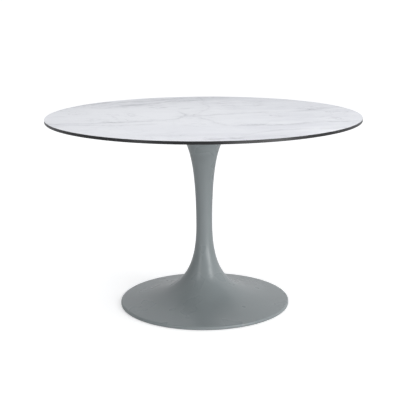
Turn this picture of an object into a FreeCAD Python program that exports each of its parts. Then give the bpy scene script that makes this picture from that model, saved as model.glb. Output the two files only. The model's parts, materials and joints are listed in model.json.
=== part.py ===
import FreeCAD, Part
import math
import os

from FreeCAD import Vector

# Round pedestal dining table: a compact-laminate top on a trumpet-shaped steel pedestal.
# Millimetres, +Z up, origin on the floor under the pedestal's axis.
#
# A tie rod holds the table together.  It is screwed into a hub under the mounting plate, runs
# down the hollow pedestal and is pulled tight by a nut under the ballast casting.  The ballast
# carries four levelling feet, which hold the pedestal's rim just off the floor.

# ---- driving dimensions ------------------------------------------------------------------------

table_height = 745.0
top_diameter = 1200.0
top_thickness = 12.0
flare_diameter = 350.0      # upper end of the pedestal
waist_diameter = 63.0
waist_height = 320.0
foot_diameter = 665.0       # lower end of the pedestal
shell_wall = 3.0

# ---- tabletop ----------------------------------------------------------------------------------

decor_thickness = 0.8       # printed face and plain backer, one on each side of the black core
top_arris = 0.4
underside_chamfer = 1.2
insert_radius = 4.5
insert_length = 9.0
insert_count = 8
insert_circle = 130.0       # radius of the circle the inserts and their screws stand on
first_insert_angle = 22.5

# ---- mounting plate and its fastenings ---------------------------------------------------------

cushion_thickness = 1.0     # soft ring between the plate and the tabletop
cushion_outer = 172.0
cushion_inner = 30.0
plate_thickness = 5.0
seat_step = 2.0             # ring under the plate that centres it in the flare
seat_step_width = 8.0
seat_step_gap = 0.4
plate_hole_radius = 3.3
m6_radius = 2.95
m6_thread_hole = 3.0
m6_length = 16.0
m6_head_radius = 5.6
m6_head_height = 3.6
m6_head_rounding = 1.2
m6_socket_flats = 4.0
m6_socket_depth = 2.2
m6_washer_radius = 6.5
m6_washer_thickness = 1.6
hub_radius = 17.0
hub_length = 40.0
hub_thread_depth = 30.0
rib_count = 4
first_rib_angle = 45.0
rib_thickness = 5.0
rib_reach = 115.0
rib_inner_height = 34.0
rib_outer_height = 8.0

# ---- pedestal ----------------------------------------------------------------------------------

rim_clearance = 1.5         # the foot's rim above the floor
foot_crown = 13.5           # height where the foot's surface turns over into its rim
foot_slope = 7.0            # degrees, down and outwards, at that turn
foot_rounding = 5.5
foot_reach = 194.0          # how far the slope at the rim leads the curve
flare_slope = 18.0          # degrees, up and outwards, where the flare turns into its rim
flare_rounding = 4.0
flare_rim = 1.5
flare_reach = 92.0
waist_reach_up = 344.0
waist_reach_down = 250.0
offset_spans = 14           # spans of the curve that runs inside the metal
bulkhead_bottom = 52.0
bulkhead_thickness = 4.0
fitting_gap = 0.4           # pieces that follow the inside of the shell keep clear by this much

# ---- tie rod -----------------------------------------------------------------------------------

m16_radius = 7.95
m16_thread_hole = 8.0
m16_clearance_hole = 9.0
m16_flats = 24.0
m16_nut_height = 13.0
m16_jam_nut_height = 8.0
rod_end_height = 11.0
rod_top_gap = 2.0
rod_chamfer = 1.0
clamp_washer_radius = 25.0
clamp_washer_thickness = 3.0
spring_washer_inner = 8.4
spring_washer_outer = 13.7
spring_washer_thickness = 3.5
spring_washer_slit = 1.6

# ---- ballast -----------------------------------------------------------------------------------

ballast_bottom = 7.5
ballast_outer = 290.0
ballast_ring_width = 65.0
ballast_hub_radius = 45.0
ballast_recess_radius = 30.0
ballast_recess_top = 34.0
ballast_arm_width = 40.0
ballast_arm_bottom = 10.0
ballast_arm_top = 24.0

# ---- levelling feet ----------------------------------------------------------------------------

foot_count = 4
first_foot_angle = 45.0
foot_circle = 262.0
pad_radius = 18.0
pad_thickness = 4.0
pad_rounding = 1.2
pad_socket_depth = 2.0
m8_radius = 3.95
m8_thread_hole = 4.0
m8_chamfer = 0.6
stem_top = 18.5
collar_flats = 13.0
collar_height = 3.0

# ---- heights that follow -----------------------------------------------------------------------

top_underside = table_height - top_thickness
plate_top = top_underside - cushion_thickness
plate_bottom = plate_top - plate_thickness
hub_bottom = plate_bottom - hub_length
screw_seat = plate_bottom - m6_washer_thickness
top_radius = top_diameter / 2
flare_radius = flare_diameter / 2
foot_radius = foot_diameter / 2
waist_radius = waist_diameter / 2

UP = Vector(0, 0, 1)
ORIGIN = Vector(0, 0, 0)


# ---- simple solids -----------------------------------------------------------------------------

def polar(radius, degrees):
    """A point on a circle round the table's axis, at floor height."""
    angle = math.radians(degrees)
    return Vector(radius * math.cos(angle), radius * math.sin(angle), 0)


def places(count, radius, first_degrees):
    """Evenly spaced points on a circle round the table's axis."""
    return [polar(radius, first_degrees + 360.0 * index / count) for index in range(count)]


def disc(radius, bottom, top, centre=ORIGIN):
    return Part.makeCylinder(radius, top - bottom, centre + UP * bottom)


def ring(outer, inner, bottom, top, centre=ORIGIN):
    return disc(outer, bottom, top, centre).cut(disc(inner, bottom, top, centre))


def hexagon(flats, bottom, top, centre=ORIGIN):
    """A hexagonal prism, by its width across flats."""
    corners = [centre + polar(flats / math.sqrt(3), 60 * index) + UP * bottom for index in range(6)]
    return Part.Face(Part.makePolygon(corners + corners[:1])).extrude(UP * (top - bottom))


def revolved(edges):
    """The solid that a closed outline in the XZ plane sweeps round the table's axis."""
    wire = Part.Wire(Part.__sortEdges__(edges))
    return Part.Face(wire).revolve(ORIGIN, UP, 360)


def circle_edges(solid, radius, height):
    """The round edges of a solid with this radius at this height."""
    return [edge for edge in solid.Edges
            if isinstance(edge.Curve, Part.Circle)
            and abs(edge.Curve.Radius - radius) < 0.01
            and abs(edge.Curve.Center.z - height) < 0.01]


# ---- outline of the pedestal -------------------------------------------------------------------

def side_point(radius, height):
    return Vector(radius, 0, height)


def heading(degrees):
    """A unit vector in the XZ plane, turned up from the outward direction."""
    angle = math.radians(degrees)
    return Vector(math.cos(angle), 0, math.sin(angle))


def arc(centre, radius, first_degrees, last_degrees):
    middle_degrees = (first_degrees + last_degrees) / 2
    ends = [centre + heading(degrees) * radius
            for degrees in (first_degrees, middle_degrees, last_degrees)]
    return Part.Arc(*ends).toShape()


def offset_curve(poles, offset):
    """A Bezier curve moved into the metal by an offset, square to the curve."""
    curve = Part.BezierCurve()
    curve.setPoles(poles)
    if offset == 0:
        return curve.toShape()
    points = []
    for step in range(offset_spans + 1):
        place = step / offset_spans
        along = curve.tangent(place)[0]
        points.append(curve.value(place) + Vector(along.z, 0, -along.x) * offset)
    moved = Part.BSplineCurve()
    moved.interpolate(Points=points, InitialTangent=curve.tangent(0)[0],
                      FinalTangent=curve.tangent(1)[0])
    return moved.toShape()


def pedestal_side(offset):
    """Edges from the flare's rim down to the foot's rim, moved into the metal by an offset."""
    flare_turn = flare_slope - 90
    flare_centre = side_point(flare_radius - flare_rounding, plate_bottom - flare_rim)
    flare_end = flare_centre + heading(flare_turn) * flare_rounding
    foot_turn = 90 - foot_slope
    foot_centre = side_point(foot_radius - foot_rounding, foot_crown)
    foot_centre -= side_point(0, foot_rounding * math.cos(math.radians(foot_slope)))
    foot_start = foot_centre + heading(foot_turn) * foot_rounding
    waist = side_point(waist_radius, waist_height)

    upper = [flare_end, flare_end - heading(flare_slope) * flare_reach, waist + UP * waist_reach_up, waist]
    lower = [waist, waist - UP * waist_reach_down, foot_start - heading(-foot_slope) * foot_reach, foot_start]
    rim_top = side_point(flare_radius - offset, plate_bottom)
    rim_turn = side_point(flare_radius - offset, flare_centre.z)
    foot_side = side_point(foot_radius - offset, foot_centre.z)
    foot_bottom = side_point(foot_radius - offset, rim_clearance + shell_wall / 2)
    return [
        Part.makeLine(rim_top, rim_turn),
        arc(flare_centre, flare_rounding - offset, 0, flare_turn),
        offset_curve(upper, offset),
        offset_curve(lower, offset),
        arc(foot_centre, foot_rounding - offset, foot_turn, 0),
        Part.makeLine(foot_side, foot_bottom),
    ]


def pedestal_space(gap):
    """The hollow inside the pedestal, kept clear of the shell by a gap."""
    side = pedestal_side(shell_wall + gap)
    outer_top = side[0].Vertexes[0].Point
    outer_bottom = side[-1].Vertexes[-1].Point
    axis_top = side_point(0, outer_top.z)
    axis_bottom = side_point(0, outer_bottom.z)
    closing = [
        Part.makeLine(outer_bottom, axis_bottom),
        Part.makeLine(axis_bottom, axis_top),
        Part.makeLine(axis_top, outer_top),
    ]
    return revolved(side + closing)


# ---- tabletop ----------------------------------------------------------------------------------

def tabletop_blank():
    """The whole top, with its edge broken above and chamfered below."""
    outline = [
        side_point(0, top_underside),
        side_point(top_radius - underside_chamfer, top_underside),
        side_point(top_radius, top_underside + underside_chamfer),
        side_point(top_radius, table_height - top_arris),
        side_point(top_radius - top_arris, table_height),
        side_point(0, table_height),
    ]
    return revolved(Part.makePolygon(outline + outline[:1]).Edges)


def tabletop_layer(bottom, top):
    return tabletop_blank().common(disc(top_diameter, bottom, top))


def insert_holes():
    """The blind holes for the inserts, open at the underside."""
    return [disc(insert_radius, top_underside - 1, top_underside + insert_length, place)
            for place in places(insert_count, insert_circle, first_insert_angle)]


def make_tabletop_face():
    return tabletop_layer(table_height - decor_thickness, table_height)


def make_tabletop_core():
    layer = tabletop_layer(top_underside + decor_thickness, table_height - decor_thickness)
    return layer.cut(insert_holes())


def make_tabletop_backer():
    return tabletop_layer(top_underside, top_underside + decor_thickness).cut(insert_holes())


def make_threaded_inserts():
    return [ring(insert_radius, m6_thread_hole, top_underside, top_underside + insert_length, place)
            for place in places(insert_count, insert_circle, first_insert_angle)]


# ---- mounting plate ----------------------------------------------------------------------------

def make_plate_cushion():
    cushion = ring(cushion_outer, cushion_inner, plate_top, top_underside)
    holes = [disc(insert_radius, plate_top, top_underside, place)
             for place in places(insert_count, insert_circle, first_insert_angle)]
    return cushion.cut(holes)


def make_mounting_plate():
    """A steel disc that closes the flare, with a ring under it that drops inside the rim."""
    step_outer = flare_radius - shell_wall - seat_step_gap
    step = ring(step_outer, step_outer - seat_step_width, plate_bottom - seat_step, plate_bottom)
    plate = disc(flare_radius, plate_bottom, plate_top).fuse(step)
    holes = [disc(plate_hole_radius, plate_bottom, plate_top, place)
             for place in places(insert_count, insert_circle, first_insert_angle)]
    return plate.cut(holes).removeSplitter()


def make_plate_hub():
    hub = disc(hub_radius, hub_bottom, plate_bottom)
    return hub.cut(disc(m16_thread_hole, hub_bottom, hub_bottom + hub_thread_depth))


def make_gusset_ribs():
    """Tapered ribs that stiffen the plate, welded between it and the hub."""
    start = hub_radius / 2
    profile = [
        Vector(start, -rib_thickness / 2, plate_bottom),
        Vector(rib_reach, -rib_thickness / 2, plate_bottom),
        Vector(rib_reach, -rib_thickness / 2, plate_bottom - rib_outer_height),
        Vector(hub_radius, -rib_thickness / 2, plate_bottom - rib_inner_height),
        Vector(start, -rib_thickness / 2, plate_bottom - rib_inner_height),
    ]
    rib = Part.Face(Part.makePolygon(profile + profile[:1])).extrude(Vector(0, rib_thickness, 0))
    rib = rib.cut(disc(hub_radius, hub_bottom, plate_bottom))
    ribs = []
    for index in range(rib_count):
        turned = rib.copy()
        turned.rotate(ORIGIN, UP, first_rib_angle + 360.0 * index / rib_count)
        ribs.append(turned)
    return ribs


def mounting_screw(place):
    """A button-head screw, head down, with a hexagon socket."""
    head_bottom = screw_seat - m6_head_height
    head = disc(m6_head_radius, head_bottom, screw_seat, place)
    head = head.makeFillet(m6_head_rounding, circle_edges(head, m6_head_radius, head_bottom))
    socket = hexagon(m6_socket_flats, head_bottom, head_bottom + m6_socket_depth, place)
    shank = disc(m6_radius, screw_seat, screw_seat + m6_length, place)
    return head.cut(socket).fuse(shank).removeSplitter()


def make_mounting_screws():
    return [mounting_screw(place) for place in places(insert_count, insert_circle, first_insert_angle)]


def make_screw_washers():
    return [ring(m6_washer_radius, plate_hole_radius, screw_seat, plate_bottom, place)
            for place in places(insert_count, insert_circle, first_insert_angle)]


# ---- pedestal ----------------------------------------------------------------------------------

def make_pedestal_shell():
    """One trumpet of sheet steel, with a rounded edge at the foot's rim."""
    outside = pedestal_side(0)
    inside = pedestal_side(shell_wall)
    rim_centre = side_point(foot_radius - shell_wall / 2, rim_clearance + shell_wall / 2)
    foot_edge = arc(rim_centre, shell_wall / 2, 0, -180)
    flare_edge = Part.makeLine(outside[0].Vertexes[0].Point, inside[0].Vertexes[0].Point)
    return revolved(outside + [foot_edge] + inside + [flare_edge])


def make_bulkhead():
    """The disc welded inside the foot, against which the tie rod pulls the ballast."""
    bulkhead = disc(foot_radius, bulkhead_bottom, bulkhead_bottom + bulkhead_thickness)
    bulkhead = bulkhead.common(pedestal_space(fitting_gap))
    return bulkhead.cut(disc(m16_clearance_hole, bulkhead_bottom, bulkhead_bottom + bulkhead_thickness))


# ---- tie rod and its fastenings ----------------------------------------------------------------

def hexagon_nut(height, bottom):
    """A nut with both ends of its corners turned off."""
    nut = hexagon(m16_flats, bottom, bottom + height)
    corner_radius = m16_flats / math.sqrt(3)
    turned_off = corner_radius - m16_flats / 2
    rounded = disc(corner_radius, bottom, bottom + height)
    rounded = rounded.makeChamfer(turned_off / 2, circle_edges(rounded, corner_radius, bottom)
                                  + circle_edges(rounded, corner_radius, bottom + height))
    return nut.common(rounded).cut(disc(m16_thread_hole, bottom, bottom + height))


def make_tie_rod():
    rod_top = hub_bottom + hub_thread_depth - rod_top_gap
    rod = disc(m16_radius, rod_end_height, rod_top)
    ends = circle_edges(rod, m16_radius, rod_end_height) + circle_edges(rod, m16_radius, rod_top)
    return rod.makeChamfer(rod_chamfer, ends)


def make_rod_jam_nut():
    return hexagon_nut(m16_jam_nut_height, hub_bottom - m16_jam_nut_height)


def make_clamp_washer():
    bottom = ballast_recess_top - clamp_washer_thickness
    return ring(clamp_washer_radius, m16_clearance_hole, bottom, ballast_recess_top)


def make_spring_washer():
    """A spring washer pressed flat, with its slit closed to a narrow gap."""
    top = ballast_recess_top - clamp_washer_thickness
    washer = ring(spring_washer_outer, spring_washer_inner, top - spring_washer_thickness, top)
    slit = Part.makeBox(spring_washer_outer, spring_washer_slit, spring_washer_thickness,
                        Vector(0, -spring_washer_slit / 2, top - spring_washer_thickness))
    return washer.cut(slit)


def make_clamp_nut():
    top = ballast_recess_top - clamp_washer_thickness - spring_washer_thickness
    return hexagon_nut(m16_nut_height, top - m16_nut_height)


# ---- ballast -----------------------------------------------------------------------------------

def make_ballast():
    """An iron casting: a hub for the tie rod, four arms and a heavy ring that carries the feet."""
    hub = disc(ballast_hub_radius, ballast_bottom, bulkhead_bottom)
    heavy_ring = ring(ballast_outer, ballast_outer - ballast_ring_width, ballast_bottom, bulkhead_bottom)
    arms = []
    for index in range(foot_count):
        arm = Part.makeBox(foot_circle, ballast_arm_width, ballast_arm_top - ballast_arm_bottom,
                           Vector(0, -ballast_arm_width / 2, ballast_arm_bottom))
        arm.rotate(ORIGIN, UP, first_foot_angle + 360.0 * index / foot_count)
        arms.append(arm)
    casting = hub.fuse([heavy_ring] + arms).common(pedestal_space(fitting_gap))
    recess = disc(ballast_recess_radius, ballast_bottom, ballast_recess_top)
    rod_hole = disc(m16_clearance_hole, ballast_recess_top, bulkhead_bottom)
    foot_holes = [disc(m8_thread_hole, ballast_bottom, bulkhead_bottom, place)
                  for place in places(foot_count, foot_circle, first_foot_angle)]
    return casting.cut([recess, rod_hole] + foot_holes).removeSplitter()


# ---- levelling feet ----------------------------------------------------------------------------

def foot_pad(place):
    """The nylon pad, with a blind socket in which the stem turns."""
    pad = disc(pad_radius, 0, pad_thickness, place)
    pad = pad.makeFillet(pad_rounding, circle_edges(pad, pad_radius, pad_thickness))
    return pad.cut(disc(m8_thread_hole, pad_thickness - pad_socket_depth, pad_thickness, place))


def foot_stem(place):
    """The threaded stem, with a hexagon collar that rests on the pad."""
    shank = disc(m8_radius, pad_thickness - pad_socket_depth, stem_top, place)
    shank = shank.makeChamfer(m8_chamfer, circle_edges(shank, m8_radius, stem_top))
    collar = hexagon(collar_flats, pad_thickness, pad_thickness + collar_height, place)
    return shank.fuse(collar).removeSplitter()


# ---- output ------------------------------------------------------------------------------------

def write(node, solids):
    """Write one node, which is one solid or a group of separate ones."""
    shape = Part.makeCompound(solids) if isinstance(solids, list) else solids
    shape.exportStep(f"parts/{node}.step")


nodes = {
    "tabletop_face": make_tabletop_face(),
    "tabletop_core": make_tabletop_core(),
    "tabletop_backer": make_tabletop_backer(),
    "threaded_inserts": make_threaded_inserts(),
    "plate_cushion": make_plate_cushion(),
    "mounting_plate": make_mounting_plate(),
    "plate_hub": make_plate_hub(),
    "gusset_ribs": make_gusset_ribs(),
    "mounting_screws": make_mounting_screws(),
    "screw_washers": make_screw_washers(),
    "pedestal_shell": make_pedestal_shell(),
    "bulkhead": make_bulkhead(),
    "tie_rod": make_tie_rod(),
    "rod_jam_nut": make_rod_jam_nut(),
    "ballast": make_ballast(),
    "clamp_washer": make_clamp_washer(),
    "spring_washer": make_spring_washer(),
    "clamp_nut": make_clamp_nut(),
}
for number, foot_place in enumerate(places(foot_count, foot_circle, first_foot_angle), start=1):
    nodes[f"foot_pad_{number}"] = foot_pad(foot_place)
    nodes[f"foot_stem_{number}"] = foot_stem(foot_place)

os.makedirs("parts", exist_ok=True)
for node_name, node_solids in nodes.items():
    write(node_name, node_solids)
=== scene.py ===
import json
import math

import bmesh
import bpy
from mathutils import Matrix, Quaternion, Vector


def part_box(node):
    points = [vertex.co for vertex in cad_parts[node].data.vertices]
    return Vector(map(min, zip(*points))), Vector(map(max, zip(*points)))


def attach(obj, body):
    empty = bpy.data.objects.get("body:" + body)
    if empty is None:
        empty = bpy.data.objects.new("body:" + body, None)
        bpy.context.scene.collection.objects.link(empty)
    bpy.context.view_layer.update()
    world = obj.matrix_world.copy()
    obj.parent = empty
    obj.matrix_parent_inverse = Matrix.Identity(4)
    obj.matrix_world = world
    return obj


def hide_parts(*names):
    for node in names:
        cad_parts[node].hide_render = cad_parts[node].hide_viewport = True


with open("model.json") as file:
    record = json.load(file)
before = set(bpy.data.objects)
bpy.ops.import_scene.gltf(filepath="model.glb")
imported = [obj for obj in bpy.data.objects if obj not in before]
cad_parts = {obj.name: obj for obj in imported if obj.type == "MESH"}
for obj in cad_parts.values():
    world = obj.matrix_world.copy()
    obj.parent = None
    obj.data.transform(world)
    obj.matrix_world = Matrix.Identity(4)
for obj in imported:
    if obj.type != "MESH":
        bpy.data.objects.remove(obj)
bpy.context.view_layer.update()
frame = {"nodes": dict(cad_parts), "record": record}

# Round pedestal table: a marble-look laminate top on a grey powder-coated trumpet of a pedestal.
# Metres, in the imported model's own frame: +Z up, origin on the floor under the pedestal's axis.
# Round pieces are turned from an outline of (radius, height) points, as on a lathe.


# ---- sizes that the frame gives ----------------------------------------------------------------

def reach(node):
    """Radius of a round CAD node that stands on the table's axis."""
    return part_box(node)[1].x


def low(node):
    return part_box(node)[0].z


def high(node):
    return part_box(node)[1].z


def centre(node):
    """Centre of a CAD node in plan."""
    lowest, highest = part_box(node)
    return Vector(((lowest.x + highest.x) / 2, (lowest.y + highest.y) / 2, 0))


table_height = high("tabletop_face")
top_radius = reach("tabletop_face")
foot_radius = reach("pedestal_shell")
flare_radius = reach("mounting_plate")
flare_top = high("pedestal_shell")
rim_bottom = low("pedestal_shell")


# ---- outlines ----------------------------------------------------------------------------------

def heading(degrees):
    """A unit vector in the (radius, height) plane, turned up from the outward direction."""
    angle = math.radians(degrees)
    return Vector((math.cos(angle), math.sin(angle)))


def arc(middle, radius, first_degrees, last_degrees, steps):
    """Points of an arc in the (radius, height) plane."""
    span = last_degrees - first_degrees
    return [middle + heading(first_degrees + span * step / steps) * radius for step in range(steps + 1)]


# ---- meshes ------------------------------------------------------------------------------------

crease_angle = math.radians(32)
on_axis = 1e-9              # a radius under this is a point on the axis


def mesh_object(name, bm):
    """A new object from a bmesh, smooth shaded but crisp at its creases."""
    bmesh.ops.recalc_face_normals(bm, faces=bm.faces)
    mesh = bpy.data.meshes.new(name)
    bm.to_mesh(mesh)
    bm.free()
    mesh.shade_smooth()
    mesh.set_sharp_from_angle(angle=crease_angle)
    piece = bpy.data.objects.new(name, mesh)
    bpy.context.scene.collection.objects.link(piece)
    return piece


def turned(name, outline, segments, middle=Vector((0, 0, 0))):
    """A piece turned from a closed outline of (radius, height) points, round an upright axis."""
    bm = bmesh.new()
    rings = []
    for radius, height in outline:
        if radius < on_axis:
            tip = bm.verts.new(middle + Vector((0, 0, height)))
            rings.append([tip] * segments)
            continue
        ring = []
        for segment in range(segments):
            angle = 2 * math.pi * segment / segments
            point = Vector((radius * math.cos(angle), radius * math.sin(angle), height))
            ring.append(bm.verts.new(middle + point))
        rings.append(ring)
    for first, second in zip(rings, rings[1:] + rings[:1]):
        for segment in range(segments):
            following = (segment + 1) % segments
            corners = []
            for corner in (first[segment], first[following], second[following], second[segment]):
                if corner not in corners:
                    corners.append(corner)
            if len(corners) > 2:
                bm.faces.new(corners)
    return mesh_object(name, bm)


# ---- node trees --------------------------------------------------------------------------------

class Material:
    """A node material in the making: most methods add a node and return its output."""

    def __init__(self, name, **settings):
        self.data = bpy.data.materials.new(name)
        self.data.use_nodes = True
        self.tree = self.data.node_tree
        self.shader = self.tree.nodes["Principled BSDF"]
        for socket, value in settings.items():
            self.feed(self.shader.inputs[socket.replace("_", " ")], value)
        self.place = self.node("ShaderNodeTexCoord").outputs["Object"]

    def node(self, kind):
        return self.tree.nodes.new(kind)

    def feed(self, socket, value):
        """Link an output to a socket, or set the socket's own number, vector or colour."""
        if isinstance(value, bpy.types.NodeSocket):
            self.tree.links.new(value, socket)
        elif isinstance(value, tuple) and len(value) == 3 and socket.type == "RGBA":
            socket.default_value = (*value, 1)
        else:
            socket.default_value = value

    def math(self, operation, *values, clamp=False):
        node = self.node("ShaderNodeMath")
        node.operation = operation
        node.use_clamp = clamp
        for socket, value in zip(node.inputs, values):
            self.feed(socket, value)
        return node.outputs[0]

    def vector(self, operation, *values):
        node = self.node("ShaderNodeVectorMath")
        node.operation = operation
        for socket, value in zip(node.inputs, values):
            self.feed(socket, value)
        return node.outputs[0]

    def stretched(self, scale, place=None):
        """The place, scaled differently along each axis."""
        return self.vector("MULTIPLY", place or self.place, scale)

    def split(self, place):
        node = self.node("ShaderNodeSeparateXYZ")
        self.feed(node.inputs[0], place)
        return node.outputs

    def noise(self, scale, detail=2.0, roughness=0.5, distortion=0.0, place=None, output="Fac"):
        node = self.node("ShaderNodeTexNoise")
        self.feed(node.inputs["Vector"], place or self.place)
        self.feed(node.inputs["Scale"], scale)
        self.feed(node.inputs["Detail"], detail)
        self.feed(node.inputs["Roughness"], roughness)
        self.feed(node.inputs["Distortion"], distortion)
        return node.outputs[output]

    def cells(self, scale):
        node = self.node("ShaderNodeTexVoronoi")
        self.feed(node.inputs["Vector"], self.place)
        self.feed(node.inputs["Scale"], scale)
        return node.outputs["Distance"]

    def distance(self, spot):
        """Distance from a spot, in metres."""
        node = self.node("ShaderNodeVectorMath")
        node.operation = "DISTANCE"
        self.feed(node.inputs[0], self.place)
        self.feed(node.inputs[1], spot)
        return node.outputs["Value"]

    def ramp(self, value, first, last, bottom=0.0, top=1.0):
        """Map value smoothly from first..last to bottom..top."""
        node = self.node("ShaderNodeMapRange")
        node.interpolation_type = "SMOOTHSTEP"
        for socket, number in zip(node.inputs, (value, first, last, bottom, top)):
            self.feed(socket, number)
        return node.outputs[0]

    def curve(self, value, points):
        """A curve through (x, y) points, both from 0 to 1."""
        node = self.node("ShaderNodeFloatCurve")
        curve = node.mapping.curves[0]
        node.mapping.extend = "HORIZONTAL"
        curve.points[0].location = points[0]
        curve.points[1].location = points[-1]
        for point in points[1:-1]:
            curve.points.new(*point)
        node.mapping.update()
        self.feed(node.inputs["Value"], value)
        return node.outputs[0]

    def blend(self, share, first, second):
        """The first colour where share is 0, and the second where it is 1."""
        node = self.node("ShaderNodeMix")
        node.data_type = "RGBA"
        colour_a, colour_b = node.inputs[6], node.inputs[7]     # sockets of each kind share their names
        self.feed(node.inputs["Factor"], share)
        self.feed(colour_a, first)
        self.feed(colour_b, second)
        return node.outputs[2]

    def bump(self, height, depth, strength):
        """Raise the surface by height times depth, in metres."""
        node = self.node("ShaderNodeBump")
        self.feed(node.inputs["Height"], height)
        self.feed(node.inputs["Distance"], depth)
        self.feed(node.inputs["Strength"], strength)
        self.tree.links.new(node.outputs[0], self.shader.inputs["Normal"])

    def paint(self, colour, roughness):
        """Use this colour and roughness, and return the finished material."""
        self.feed(self.shader.inputs["Base Color"], colour)
        self.feed(self.shader.inputs["Roughness"], roughness)
        return self.data


# ---- marble print, and painted shade towards the top's edges -----------------------------------

# Each vein is the axis that it runs along, its width, and its knots: (along, across, darkness).  Lengths are
# in metres, and darkness is from 0 to 1.
veins = [
    ("x", 0.0050, [(-0.60, -0.205, 0.9), (-0.47, -0.200, 0.6), (-0.35, -0.182, 0.7), (-0.20, -0.145, 0.55),
                   (-0.11, -0.105, 0.5), (-0.05, -0.030, 0.7), (0.02, -0.010, 0.6), (0.10, 0.030, 0.5),
                   (0.20, 0.062, 0.5), (0.35, 0.100, 0.3), (0.60, 0.170, 0.3)]),
    ("x", 0.0045, [(0.06, -0.290, 0.0), (0.12, -0.278, 0.5), (0.20, -0.262, 0.8), (0.30, -0.246, 0.85),
                   (0.40, -0.212, 0.5), (0.50, -0.185, 0.6), (0.60, -0.160, 0.4)]),
    ("x", 0.0140, [(-0.36, 0.265, 0.0), (-0.30, 0.305, 0.9), (-0.22, 0.365, 1.0), (-0.13, 0.440, 1.0),
                   (-0.04, 0.475, 0.6), (0.05, 0.490, 0.0)]),
    ("x", 0.0130, [(-0.56, 0.270, 0.8), (-0.47, 0.345, 1.0), (-0.38, 0.395, 0.8), (-0.25, 0.435, 0.7),
                   (-0.10, 0.530, 0.8), (0.02, 0.560, 1.0), (0.12, 0.560, 0.5), (0.24, 0.540, 0.0)]),
    ("y", 0.0040, [(-0.30, 0.105, 0.0), (-0.24, 0.060, 0.5), (-0.15, 0.030, 0.35), (-0.08, -0.005, 0.6),
                   (0.00, -0.030, 0.6), (0.06, -0.020, 0.3), (0.14, 0.005, 0.3), (0.25, 0.016, 0.35),
                   (0.34, 0.000, 0.35), (0.45, -0.015, 0.5), (0.59, -0.030, 0.9)]),
    ("y", 0.0040, [(-0.12, -0.105, 0.0), (-0.06, -0.085, 0.6), (0.00, -0.060, 0.6), (0.07, -0.090, 0.4),
                   (0.16, -0.105, 0.0)]),
    ("x", 0.0040, [(0.14, -0.480, 0.0), (0.20, -0.415, 0.4), (0.28, -0.378, 0.5), (0.36, -0.360, 0.4),
                   (0.46, -0.350, 0.3), (0.60, -0.300, 0.0)]),
    ("x", 0.0050, [(-0.60, -0.255, 0.5), (-0.48, -0.235, 0.4), (-0.38, -0.245, 0.35), (-0.28, -0.255, 0.4),
                   (-0.16, -0.225, 0.0)]),
    ("x", 0.0060, [(0.36, 0.100, 0.0), (0.44, 0.145, 0.7), (0.50, 0.190, 0.4), (0.60, 0.250, 0.2)]),
    ("x", 0.0050, [(0.00, -0.565, 0.0), (0.08, -0.555, 0.8), (0.16, -0.540, 0.3), (0.26, -0.500, 0.0)]),
]

# Each family of faint strands: noise scale, stretch across, turn in degrees, width, darkness, and the spot
# round which it is strongest.
strand_families = [
    (3.4, 2.6, -14, 0.018, 0.48, (0.45, 0.00)),
    (4.6, 2.0, 24, 0.015, 0.36, (-0.45, -0.05)),
    (2.8, 3.2, -6, 0.024, 0.55, (-0.20, 0.50)),
    (6.0, 2.2, 24, 0.018, 0.50, (0.28, -0.36)),
]

vein_core_width = 1.3       # in widths of the vein, from its line to where the core and the halo end
vein_halo_width = 6.0
vein_core_darkness = 0.42
vein_halo_darkness = 0.34
strand_near = 0.10          # a family is at full strength this near its spot
strand_far = 0.62           # and past this distance at its far share
strand_far_share = 0.15
broad_wander = 0.085        # the width, in metres, within which a vein wanders off its line
fine_wander = 0.030
# The ground's cloudy patches are print, but their thickening away from one spot is painted shade, which
# darkens the top towards its edges.
lit_clear_spot = (-0.25, -0.02)
lit_clear_near = 0.10           # the ground is most clear this near the spot, and most cloudy past the far distance below: painted shade that darkens the top towards its edges
shaded_cloudy_far = 0.70
clearest_and_lit = 0.1
cloudiest_and_shaded = 1.5
light_ground = (0.782, 0.790, 0.818)
dark_ground = (0.668, 0.676, 0.714)
vein_colour = (0.250, 0.255, 0.290)


def vein(marble, axes, fraying, run, width, knots):
    """Darkness of one vein: a frayed core along its line and a wide soft halo around it."""
    along, across = (axes[0], axes[1]) if run == "x" else (axes[1], axes[0])
    unit = 0.5 / top_radius     # a curve runs from 0 to 1, which is the top's full width here
    share = marble.math("MULTIPLY_ADD", along, unit, 0.5)
    line = marble.curve(share, [(0.5 + at * unit, 0.5 + side * unit) for at, side, dark in knots])
    strength = marble.curve(share, [(0.5 + at * unit, dark) for at, side, dark in knots])
    offset = marble.math("SUBTRACT", marble.math("MULTIPLY_ADD", across, unit, 0.5), line)
    width_here = marble.math("MULTIPLY", fraying, width * unit)
    widths_off = marble.math("DIVIDE", marble.math("ABSOLUTE", offset), width_here)
    core = marble.ramp(widths_off, vein_core_width, 0.0)
    halo = marble.ramp(widths_off, vein_halo_width, 0.0)
    core = marble.math("MULTIPLY", core, vein_core_darkness)
    both = marble.math("MULTIPLY_ADD", halo, vein_halo_darkness, core)
    return marble.math("MULTIPLY", both, strength)


def strands(marble, warped, scale, stretch, turn, width, darkness, spot):
    """Darkness of faint threads that run one way, strongest round one spot of the top."""
    node = marble.node("ShaderNodeVectorRotate")
    node.rotation_type = "Z_AXIS"
    marble.feed(node.inputs["Vector"], warped)
    marble.feed(node.inputs["Angle"], math.radians(turn))
    along = marble.stretched((1.0, stretch, 1.0), node.outputs[0])
    field = marble.noise(scale, detail=5.0, roughness=0.58, distortion=0.4, place=along)
    thread = marble.ramp(marble.math("ABSOLUTE", marble.math("SUBTRACT", field, 0.5)), width, 0.0)
    patches = marble.ramp(marble.noise(5.0, detail=3.0), 0.42, 0.66)
    off_spot = marble.distance((*spot, table_height))
    near = marble.ramp(off_spot, strand_far, strand_near, strand_far_share, 1.0)
    patchy = marble.math("MULTIPLY", thread, patches)
    return marble.math("MULTIPLY", patchy, marble.math("MULTIPLY", near, darkness))


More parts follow.
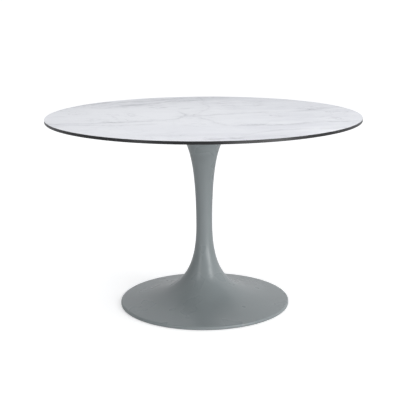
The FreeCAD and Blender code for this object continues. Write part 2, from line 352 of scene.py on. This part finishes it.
def sideways_shift(marble, noise, span):
    """A shift within the top's plane, over span in all, from a coloured noise."""
    centred = marble.vector("SUBTRACT", noise, (0.5, 0.5, 0.5))
    return marble.vector("MULTIPLY", centred, (span, span, 0.0))


def marble_decor():
    """Veins and faint strands on a pale ground with cloudy patches in it, which thicken away from one spot
    as painted shade towards the top's edges.
    """
    marble = Material("marble_decor", Specular_IOR_Level=0.45)
    broad_noise = marble.noise(5.0, detail=3.0, output="Color")
    fine_noise = marble.noise(34.0, detail=4.0, roughness=0.65, output="Color")
    broad = sideways_shift(marble, broad_noise, broad_wander)
    fine = sideways_shift(marble, fine_noise, fine_wander)
    warped = marble.vector("ADD", marble.place, marble.vector("ADD", broad, fine))
    axes = marble.split(warped)
    fraying = marble.ramp(marble.noise(20.0, detail=4.0, roughness=0.7), 0.30, 0.70, 0.45, 2.1)
    darkness = 0.0
    for run, width, knots in veins:
        darkness = marble.math("MAXIMUM", darkness, vein(marble, axes, fraying, run, width, knots))
    broken = marble.ramp(marble.noise(15.0, detail=6.0, roughness=0.75), 0.32, 0.60, 0.26, 1.0)
    darkness = marble.math("MULTIPLY", darkness, broken)
    for family in strand_families:
        darkness = marble.math("ADD", darkness, strands(marble, warped, *family), clamp=True)

    drift = marble.noise(2.6, detail=6.0, roughness=0.62, place=marble.stretched((0.7, 1.7, 1.0), warped))
    # Painted shade: the cloudy patches thicken away from one spot, so the ground darkens towards the top's
    # edges.
    off_lit_clear_spot = marble.distance((*lit_clear_spot, table_height))
    cloudier_and_shaded = marble.ramp(off_lit_clear_spot, lit_clear_near, shaded_cloudy_far, clearest_and_lit, cloudiest_and_shaded)
    shaded_clouds = marble.math("MULTIPLY", marble.ramp(drift, 0.28, 0.72), cloudier_and_shaded)
    ground = marble.blend(shaded_clouds, light_ground, dark_ground)
    colour = marble.blend(darkness, ground, vein_colour)
    roughness = marble.ramp(marble.noise(60.0, detail=3.0), 0.3, 0.7, 0.30, 0.36)
    marble.bump(marble.noise(900.0, detail=2.0), 0.00002, 0.35)
    return marble.paint(colour, roughness)


def black_laminate():
    core = Material("black_laminate", Specular_IOR_Level=0.42)
    layers = core.noise(1.0, detail=3.0, place=core.stretched((6.0, 6.0, 2600.0)))
    specks = core.ramp(core.noise(1400.0, detail=1.0), 0.62, 0.75)
    colour = core.blend(layers, (0.0065, 0.0065, 0.0072), (0.0105, 0.0105, 0.0115))
    colour = core.blend(core.math("MULTIPLY", specks, 0.15), colour, (0.035, 0.035, 0.038))
    roughness = core.ramp(layers, 0.3, 0.7, 0.30, 0.38)
    core.bump(layers, 0.00002, 0.3)
    return core.paint(colour, roughness)


# ---- metals, plastics and rubber ---------------------------------------------------------------

def grey_powder_coat():
    coat = Material("grey_powder_coat", Specular_IOR_Level=0.5)
    tone = coat.noise(7.0, detail=1.0)
    grain = coat.noise(900.0, detail=2.0)
    colour = coat.blend(tone, (0.214, 0.240, 0.246), (0.228, 0.254, 0.260))
    colour = coat.blend(coat.ramp(grain, 0.55, 0.80, 0.0, 0.06), colour, (0.280, 0.306, 0.313))
    roughness = coat.ramp(coat.noise(12.0, detail=1.0), 0.3, 0.7, 0.27, 0.29)
    orange_peel = coat.noise(330.0, detail=1.0)
    peel = coat.math("MULTIPLY_ADD", orange_peel, 0.75, coat.math("MULTIPLY", grain, 0.25))
    coat.bump(peel, 0.00004, 0.08)
    return coat.paint(colour, roughness)


def black_steel():
    steel = Material("black_steel", Specular_IOR_Level=0.5)
    grain = steel.cells(700.0)
    colour = steel.blend(steel.noise(18.0, detail=4.0), (0.012, 0.012, 0.013), (0.020, 0.020, 0.022))
    roughness = steel.ramp(steel.noise(90.0, detail=3.0), 0.3, 0.7, 0.48, 0.60)
    steel.bump(grain, 0.00012, 0.5)
    return steel.paint(colour, roughness)


def cast_iron():
    iron = Material("cast_iron", Specular_IOR_Level=0.45)
    lumps = iron.noise(160.0, detail=5.0, roughness=0.7)
    sand = iron.math("MULTIPLY_ADD", iron.cells(420.0), 0.6, lumps)
    pits = iron.ramp(iron.noise(70.0, detail=4.0, roughness=0.7), 0.60, 0.75)
    colour = iron.blend(iron.noise(9.0, detail=5.0), (0.018, 0.019, 0.021), (0.034, 0.035, 0.038))
    colour = iron.blend(iron.math("MULTIPLY", pits, 0.5), colour, (0.060, 0.050, 0.044))
    roughness = iron.ramp(sand, 0.3, 0.9, 0.55, 0.75)
    iron.bump(iron.math("SUBTRACT", sand, iron.math("MULTIPLY", pits, 0.6)), 0.0005, 0.6)
    return iron.paint(colour, roughness)


def zinc_steel():
    zinc = Material("zinc_steel", Metallic=1.0)
    haze = zinc.noise(120.0, detail=4.0)
    brushed = zinc.noise(1.0, detail=4.0, place=zinc.stretched((260.0, 260.0, 4200.0)))
    colour = zinc.blend(haze, (0.52, 0.53, 0.56), (0.66, 0.66, 0.67))
    roughness = zinc.ramp(brushed, 0.25, 0.75, 0.24, 0.40)
    zinc.bump(brushed, 0.00003, 0.4)
    return zinc.paint(colour, roughness)


def brass():
    metal = Material("brass", Metallic=1.0)
    lines = metal.noise(1.0, detail=3.0, place=metal.stretched((200.0, 200.0, 5200.0)))
    colour = metal.blend(metal.noise(150.0, detail=4.0), (0.60, 0.42, 0.16), (0.76, 0.56, 0.25))
    metal.bump(lines, 0.00004, 0.5)
    return metal.paint(colour, metal.ramp(lines, 0.25, 0.75, 0.20, 0.36))


def soft_rubber():
    rubber = Material("soft_rubber", Specular_IOR_Level=0.3)
    cells = rubber.cells(1300.0)
    colour = rubber.blend(rubber.noise(220.0, detail=3.0), (0.014, 0.014, 0.014), (0.026, 0.026, 0.027))
    rubber.bump(cells, 0.0002, 0.6)
    return rubber.paint(colour, rubber.ramp(cells, 0.0, 0.7, 0.75, 0.90))


def black_nylon():
    nylon = Material("black_nylon", Specular_IOR_Level=0.4)
    spark = nylon.noise(2200.0, detail=2.0)
    streaks = nylon.noise(1.0, detail=5.0, place=nylon.stretched((300.0, 40.0, 300.0)))
    scuffs = nylon.ramp(streaks, 0.62, 0.80)
    colour = nylon.blend(nylon.math("MULTIPLY", scuffs, 0.4), (0.012, 0.012, 0.013), (0.045, 0.045, 0.046))
    nylon.bump(spark, 0.00005, 0.5)
    return nylon.paint(colour, nylon.ramp(spark, 0.3, 0.7, 0.46, 0.60))


finishes = {
    "marble_decor": marble_decor(),
    "black_laminate": black_laminate(),
    "grey_powder_coat": grey_powder_coat(),
    "black_steel": black_steel(),
    "cast_iron": cast_iron(),
    "zinc_steel": zinc_steel(),
    "brass": brass(),
    "soft_rubber": soft_rubber(),
    "black_nylon": black_nylon(),
}
slot_of = {part["node"]: part["material_slot"] for part in frame["record"]["subparts"]}


def finish_piece(piece, node, body="root"):
    """Give a new piece its CAD node's finish, hide that node, which the piece replaces, and hang the piece
    on the body that it rides.
    """
    piece.data.materials.append(finishes[slot_of[node]])
    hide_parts(node)
    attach(piece, body)


def finish_cad_nodes():
    """Give every CAD node its finish."""
    for node, piece in frame["nodes"].items():
        piece.data.materials.clear()
        piece.data.materials.append(finishes[slot_of[node]])


# ---- tabletop ----------------------------------------------------------------------------------

top_segments = 320
arris = 0.0004
lower_chamfer = 0.0012


def rounded_edge(top, bottom):
    """The face's outer edge, with its upper corner rounded, closed back to the axis."""
    middle = Vector((top_radius - arris, top - arris))
    return arc(middle, arris, 90, 0, steps=5) + [Vector((top_radius, bottom)), Vector((0, bottom))]


def make_tabletop():
    """The marble face, the black core and the black backer, as three stacked layers."""
    face_bottom = low("tabletop_face")
    face = [Vector((0, table_height))] + rounded_edge(table_height, face_bottom)
    finish_piece(turned("marble_face", face, top_segments), "tabletop_face")

    backer_top = high("tabletop_backer")
    bottom = low("tabletop_backer")
    chamfer_top = bottom + lower_chamfer
    at_join = top_radius - (chamfer_top - backer_top)
    core = [Vector((0, face_bottom)), Vector((top_radius, face_bottom)), Vector((top_radius, chamfer_top)),
            Vector((at_join, backer_top)), Vector((0, backer_top))]
    finish_piece(turned("laminate_core", core, top_segments), "tabletop_core")
    backer = [Vector((0, backer_top)), Vector((at_join, backer_top)),
              Vector((top_radius - lower_chamfer, bottom)), Vector((0, bottom))]
    finish_piece(turned("laminate_backer", backer, top_segments), "tabletop_backer")


# ---- pedestal ----------------------------------------------------------------------------------

pedestal_segments = 256
side_steps = 72
shell_wall = 0.003
flare_slope = 18.0
flare_rounding = 0.004
flare_rim = 0.0015
flare_reach = 0.092
waist_radius = 0.0315
waist_height = 0.320
waist_reach_up = 0.344
waist_reach_down = 0.250
foot_slope = 7.0
foot_rounding = 0.0055
foot_crown = 0.0135
foot_reach = 0.194


def bezier(poles, steps):
    """Points and directions along a cubic curve from its four poles."""
    start, leaving, arriving, end = poles
    result = []
    for step in range(steps + 1):
        t = step / steps
        s = 1 - t
        point = start * s**3 + leaving * 3 * s * s * t + arriving * 3 * s * t * t + end * t**3
        along = (leaving - start) * s * s + (arriving - leaving) * 2 * s * t + (end - arriving) * t * t
        result.append((point, along.normalized()))
    return result


def pedestal_side(offset):
    """The pedestal's side from the flare's rim down to the foot's rim, moved into the metal by offset."""
    flare_turn = flare_slope - 90
    flare_middle = Vector((flare_radius - flare_rounding, flare_top - flare_rim))
    flare_end = flare_middle + heading(flare_turn) * flare_rounding
    foot_turn = 90 - foot_slope
    foot_drop = foot_rounding * math.cos(math.radians(foot_slope))
    foot_middle = Vector((foot_radius - foot_rounding, foot_crown - foot_drop))
    foot_start = foot_middle + heading(foot_turn) * foot_rounding
    waist = Vector((waist_radius, waist_height))
    up = Vector((0, 1))
    flare_pole = flare_end - heading(flare_slope) * flare_reach
    upper = [flare_end, flare_pole, waist + up * waist_reach_up, waist]
    foot_pole = foot_start - heading(-foot_slope) * foot_reach
    lower = [waist, waist - up * waist_reach_down, foot_pole, foot_start]
    curve = bezier(upper, side_steps) + bezier(lower, side_steps)[1:]
    side = [Vector((flare_radius - offset, flare_top))]
    side += arc(flare_middle, flare_rounding - offset, 0, flare_turn, steps=6)[:-1]
    side += [point + Vector((along.y, -along.x)) * offset for point, along in curve]
    side += arc(foot_middle, foot_rounding - offset, foot_turn, 0, steps=8)[1:]
    return side


def make_pedestal():
    """The trumpet: flare, waist and foot in one skin, with a round lower edge."""
    outside = pedestal_side(0)
    inside = pedestal_side(shell_wall)
    edge_middle = Vector((foot_radius - shell_wall / 2, rim_bottom + shell_wall / 2))
    foot_edge = arc(edge_middle, shell_wall / 2, 0, -180, steps=8)
    shell = turned("pedestal_trumpet", outside + foot_edge + inside[::-1], pedestal_segments)
    finish_piece(shell, "pedestal_shell")


# ---- mounting plate ----------------------------------------------------------------------------

plate_edge_round = 0.0008
seat_step_gap = 0.0004
seat_step_width = 0.008


def make_mounting_plate():
    """The steel disc that closes the flare, with its edges broken and a ring that drops inside the rim."""
    bottom = low("mounting_plate")
    top = high("mounting_plate")
    corner = flare_radius - plate_edge_round
    step_outer = flare_radius - shell_wall - seat_step_gap
    step_inner = step_outer - seat_step_width
    outline = [Vector((0, top))]
    outline += arc(Vector((corner, top - plate_edge_round)), plate_edge_round, 90, 0, steps=4)
    outline += arc(Vector((corner, flare_top + plate_edge_round)), plate_edge_round, 0, -90, steps=4)
    outline += [Vector((step_outer, flare_top)), Vector((step_outer, bottom)), Vector((step_inner, bottom)),
                Vector((step_inner, flare_top)), Vector((0, flare_top))]
    finish_piece(turned("mounting_plate_disc", outline, pedestal_segments), "mounting_plate")


# ---- threaded pieces ---------------------------------------------------------------------------

# Each is one closed mesh, stacked from rings that all have the same number of points.
ring_points = 48
rings_per_pitch = 8
thread_depth = 0.54         # share of the pitch


def ring_at(height, radius_towards):
    """Points round the axis, where radius_towards gives the radius for each angle."""
    ring = []
    for index in range(ring_points):
        angle = 2 * math.pi * index / ring_points
        radius = radius_towards(angle)
        ring.append(Vector((radius * math.cos(angle), radius * math.sin(angle), height)))
    return ring


def round_ring(radius, height):
    return ring_at(height, lambda angle: radius)


def hexagon_ring(flats, height, turned_off=0.0):
    """A hexagon by its width across flats, with its corners turned off as on a real nut."""
    corner_limit = flats / math.sqrt(3) - turned_off

    def radius_towards(angle):
        from_flat = angle % (math.pi / 3) - math.pi / 6
        return min(flats / 2 / math.cos(from_flat), corner_limit)

    return ring_at(height, radius_towards)


def thread_rings(radius, pitch, tip, root):
    """A right-hand thread from its tapered tip to its root, where it runs out into a plain shank."""
    depth = pitch * thread_depth
    steps = round(abs(root - tip) / pitch * rings_per_pitch)
    rings = []
    for step in range(steps + 1):
        height = tip + (root - tip) * step / steps
        run_out = min(1.0, abs(root - height) / pitch)
        taper = depth * max(0.0, 1 - abs(height - tip) / pitch)

        def radius_towards(angle):
            phase = (height / pitch - angle / (2 * math.pi)) % 1.0
            groove = depth * run_out * (1 - abs(2 * phase - 1))
            return min(radius - groove, radius - taper)

        rings.append(ring_at(height, radius_towards))
    return rings


def stacked(name, rings, middle=Vector((0, 0, 0))):
    """A closed piece from rings in order from bottom to top, capped at both ends."""
    bm = bmesh.new()
    rows = [[bm.verts.new(middle + point) for point in ring] for ring in rings]
    for lower, upper in zip(rows, rows[1:]):
        for index in range(ring_points):
            following = (index + 1) % ring_points
            bm.faces.new((lower[index], lower[following], upper[following], upper[index]))
    bm.faces.new(rows[0][::-1])
    bm.faces.new(rows[-1])
    return mesh_object(name, bm)


rod_radius = 0.00795
rod_pitch = 0.002
rod_thread_run = 0.040


def make_tie_rod():
    """The tie rod: one bar with an M16 thread at each end and a plain shank between them."""
    bottom = low("tie_rod")
    top = high("tie_rod")
    rings = thread_rings(rod_radius, rod_pitch, bottom, bottom + rod_thread_run)
    rings += reversed(thread_rings(rod_radius, rod_pitch, top, top - rod_thread_run))
    finish_piece(stacked("tie_rod_m16", rings), "tie_rod")


# ---- levelling feet ----------------------------------------------------------------------------

stem_radius = 0.00395
stem_pitch = 0.00125
collar_flats = 0.013
collar_height = 0.003
collar_turned_off = 0.0006
pad_segments = 64
pad_rounding = 0.0012
pad_dish = 0.0006
pad_dish_share = 0.72       # where the dish ends and the sole starts, of the pad's radius
pad_sole_share = 0.78
pad_groove = 0.0005
pad_groove_share = 0.42     # of the pad's height
pad_socket = 0.00403
socket_chamfer = 0.0006


def make_pad(number, middle):
    """The moulded pad, dished underneath, with a groove round its edge and a socket for the stem."""
    node = f"foot_pad_{number}"
    lowest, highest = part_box(node)
    radius = (highest.x - lowest.x) / 2
    top = highest.z
    socket_bottom = low(f"foot_stem_{number}")
    outline = [Vector((0, pad_dish)), Vector((radius * pad_dish_share, pad_dish)),
               Vector((radius * pad_sole_share, 0))]
    outline += arc(Vector((radius - pad_groove, pad_groove)), pad_groove, -90, 0, steps=3)
    outline += arc(Vector((radius, top * pad_groove_share)), pad_groove, -90, -270, steps=4)
    outline += arc(Vector((radius - pad_rounding, top - pad_rounding)), pad_rounding, 0, 90, steps=5)
    outline += [Vector((pad_socket + socket_chamfer, top)), Vector((pad_socket, top - socket_chamfer)),
                Vector((pad_socket, socket_bottom)), Vector((0, socket_bottom))]
    finish_piece(turned(f"levelling_pad_{number}", outline, pad_segments, middle), node, node)


def make_stem(number, middle):
    """The stem: a pin that turns in the pad, a hexagon collar and an M8 thread, all one bar."""
    node = f"foot_stem_{number}"
    collar_bottom = high(f"foot_pad_{number}")
    collar_top = collar_bottom + collar_height
    rings = [round_ring(stem_radius, low(node)), round_ring(stem_radius, collar_bottom)]
    rings += [hexagon_ring(collar_flats, collar_bottom, collar_turned_off),
              hexagon_ring(collar_flats, collar_bottom + collar_turned_off),
              hexagon_ring(collar_flats, collar_top - collar_turned_off),
              hexagon_ring(collar_flats, collar_top, collar_turned_off)]
    rings += reversed(thread_rings(stem_radius, stem_pitch, high(node), collar_top))
    finish_piece(stacked(f"levelling_stem_{number}", rings, middle), node, node)


# ---- ballast casting ---------------------------------------------------------------------------

casting_voxel = 0.0021
casting_smoothing = 0.5
casting_smoothing_passes = 3


def make_ballast():
    """The iron casting: a copy of its plain solid with its edges softened, as sand casting leaves them."""
    source = frame["nodes"]["ballast"]
    casting = bpy.data.objects.new("ballast_casting", source.data.copy())
    casting.data.materials.clear()
    bpy.context.scene.collection.objects.link(casting)
    casting.matrix_world = source.matrix_world.copy()
    remesh = casting.modifiers.new("even", "REMESH")
    remesh.mode = "VOXEL"
    remesh.voxel_size = casting_voxel
    soften = casting.modifiers.new("soften", "SMOOTH")
    soften.factor = casting_smoothing
    soften.iterations = casting_smoothing_passes
    evaluated = casting.evaluated_get(bpy.context.evaluated_depsgraph_get())
    applied = bpy.data.meshes.new_from_object(evaluated)
    casting.modifiers.clear()
    casting.data = applied
    casting.data.shade_smooth()
    finish_piece(casting, "ballast")


# ---- the set: floor, light and camera ----------------------------------------------------------

floor_size = 200
floor_gap = 0.0003          # below the feet, so that no faces coincide
floor_shade = (0.79, 0.79, 0.79)
floor_glow = 0.46
room_colour = (0.97, 0.98, 1.0)
room_light = 0.635
backdrop_light = 1.15
room_slant = (0.34, 0.12, 0.20)     # how much brighter the room is to the right, behind and above
camera_distance = 3.5723
camera_height = 1.240
camera_pitch = math.radians(13.522)
camera_turn = math.radians(0.240)
camera_roll = math.radians(0.332)
camera_lens = 81.48
camera_sensor = 36

# Each softbox: its place, the point that it faces, its width and height, and its power in watts.
softboxes = {
    "overhead": ((-0.3, 0.3, 3.0), (0, 0, 0.7), 3.0, 3.0, 13),
    "right_front": ((2.1, -2.1, 1.25), (0, 0, 0.45), 0.9, 2.0, 23),
    "right_side": ((2.6, -1.5, 1.25), (0, 0, 0.45), 0.5, 2.0, 6),
    "right_low": ((2.1, -2.1, 0.5), (0, 0, 0.3), 0.8, 0.9, 6.5),
    "right_high": ((1.9, -1.9, 2.2), (0, 0, 0.2), 0.9, 0.8, 7),
    "left_front": ((-1.95, -2.35, 1.0), (0, 0, 0.45), 0.35, 1.6, 8),
    "left_high": ((-1.6, -1.9, 2.2), (0, 0, 0.3), 0.35, 0.9, 5),
    "front_low": ((1.3, -2.8, 0.5), (0, 0, 0.05), 0.7, 0.6, 8),
}


def make_floor():
    """A plain white floor, which stays pale in the table's own shadow."""
    bm = bmesh.new()
    bmesh.ops.create_grid(bm, x_segments=1, y_segments=1, size=floor_size)
    bmesh.ops.translate(bm, vec=(0, 0, -floor_gap), verts=bm.verts)
    floor = mesh_object("floor", bm)
    ground = Material("floor_white", Base_Color=floor_shade, Roughness=0.9, Specular_IOR_Level=0.1)
    ground.feed(ground.shader.inputs["Emission Color"], (1.0, 1.0, 1.0))
    seen = ground.node("ShaderNodeLightPath").outputs["Is Camera Ray"]
    ground.feed(ground.shader.inputs["Emission Strength"], ground.math("MULTIPLY", seen, floor_glow))
    floor.data.materials.append(ground.data)


def softbox(name, place, aim, width, height, power):
    """A rectangular light that the camera doesn't see."""
    light = bpy.data.lights.new(name, "AREA")
    light.shape = "RECTANGLE"
    light.size = width
    light.size_y = height
    light.energy = power
    lamp = bpy.data.objects.new(name, light)
    lamp.location = place
    lamp.rotation_euler = (Vector(aim) - Vector(place)).to_track_quat("-Z", "Y").to_euler()
    bpy.context.scene.collection.objects.link(lamp)
    lamp.visible_camera = False


def make_camera():
    """The view from the front, from above the tabletop and slightly down."""
    data = bpy.data.cameras.new("camera")
    data.lens = camera_lens
    data.sensor_width = camera_sensor
    camera = bpy.data.objects.new("camera", data)
    camera.location = (0, -camera_distance, camera_height)
    level = Vector((math.sin(camera_turn), math.cos(camera_turn), 0))
    aim = level * math.cos(camera_pitch) - Vector((0, 0, math.sin(camera_pitch)))
    camera.rotation_mode = "QUATERNION"
    camera.rotation_quaternion = aim.to_track_quat("-Z", "Y")
    camera.rotation_quaternion.rotate(Quaternion(aim, camera_roll))
    bpy.context.scene.collection.objects.link(camera)
    bpy.context.scene.camera = camera


def make_light():
    """A soft room that is brighter to the right, behind and above, and the softboxes."""
    world = bpy.data.worlds.new("studio")
    world.use_nodes = True
    tree = world.node_tree
    background = tree.nodes["Background"]
    background.inputs["Color"].default_value = (*room_colour, 1)
    towards = tree.nodes.new("ShaderNodeVectorMath")
    towards.operation = "DOT_PRODUCT"
    towards.inputs[1].default_value = room_slant
    direction = tree.nodes.new("ShaderNodeTexCoord").outputs["Generated"]
    tree.links.new(direction, towards.inputs[0])
    room = tree.nodes.new("ShaderNodeMath")
    room.operation = "ADD"
    room.inputs[1].default_value = room_light
    tree.links.new(towards.outputs["Value"], room.inputs[0])
    seen = tree.nodes.new("ShaderNodeLightPath").outputs["Is Camera Ray"]
    strength = tree.nodes.new("ShaderNodeMix")
    tree.links.new(seen, strength.inputs["Factor"])
    tree.links.new(room.outputs[0], strength.inputs["A"])
    strength.inputs["B"].default_value = backdrop_light
    tree.links.new(strength.outputs["Result"], background.inputs["Strength"])
    bpy.context.scene.world = world
    bpy.context.scene.view_settings.view_transform = "Standard"
    for name, setting in softboxes.items():
        softbox(name, *setting)


finish_cad_nodes()
make_tabletop()
make_mounting_plate()
make_pedestal()
make_tie_rod()
make_ballast()
for foot_number in range(1, 5):
    foot_middle = centre(f"foot_pad_{foot_number}")
    make_pad(foot_number, foot_middle)
    make_stem(foot_number, foot_middle)
make_floor()
make_light()
make_camera()
